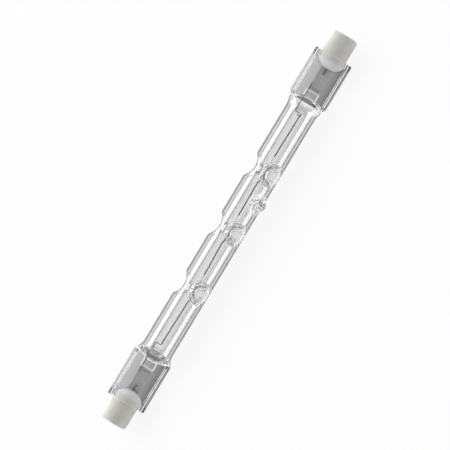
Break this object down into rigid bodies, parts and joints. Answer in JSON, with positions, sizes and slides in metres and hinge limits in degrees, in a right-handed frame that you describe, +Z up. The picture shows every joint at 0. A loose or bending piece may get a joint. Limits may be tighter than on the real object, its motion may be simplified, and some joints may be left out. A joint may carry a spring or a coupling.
{
  "type": "linear halogen bulb",
  "caption": "Double-ended linear halogen bulb: a clear quartz tube with flat pinch seals, a coiled filament along its axis and a ceramic cap with a recessed contact at each end.",
  "frame": {"origin": "on the floor under the lamp's axis, midway between the two caps", "axes": "+X along the lamp's axis towards the right-hand cap, +Y away from the exhaust tip, +Z up, with the lamp lying on its tube and on one rail of each pinch seal"},
  "size_m": [0.1176, 0.0118, 0.0086],
  "materials": {
    "quartz": "clear polished fused quartz",
    "tungsten": "dull drawn wire",
    "molybdenum": "satin drawn metal",
    "cement": "matt",
    "cap_ceramic": "matt pressed steatite",
    "contact_metal": "satin nickel plate"
  },
  "bodies": {
    "root": {"quartz_envelope": "quartz", "filament": "tungsten", "inner_lead_left": "molybdenum", "inner_lead_right": "molybdenum", "foil_left": "molybdenum", "foil_right": "molybdenum", "outer_lead_left": "molybdenum", "outer_lead_right": "molybdenum", "cement_left": "cement", "cement_right": "cement", "ceramic_cap_left": "cap_ceramic", "ceramic_cap_right": "cap_ceramic", "contact_left": "contact_metal", "contact_right": "contact_metal"}
  },
  "joints": []
}
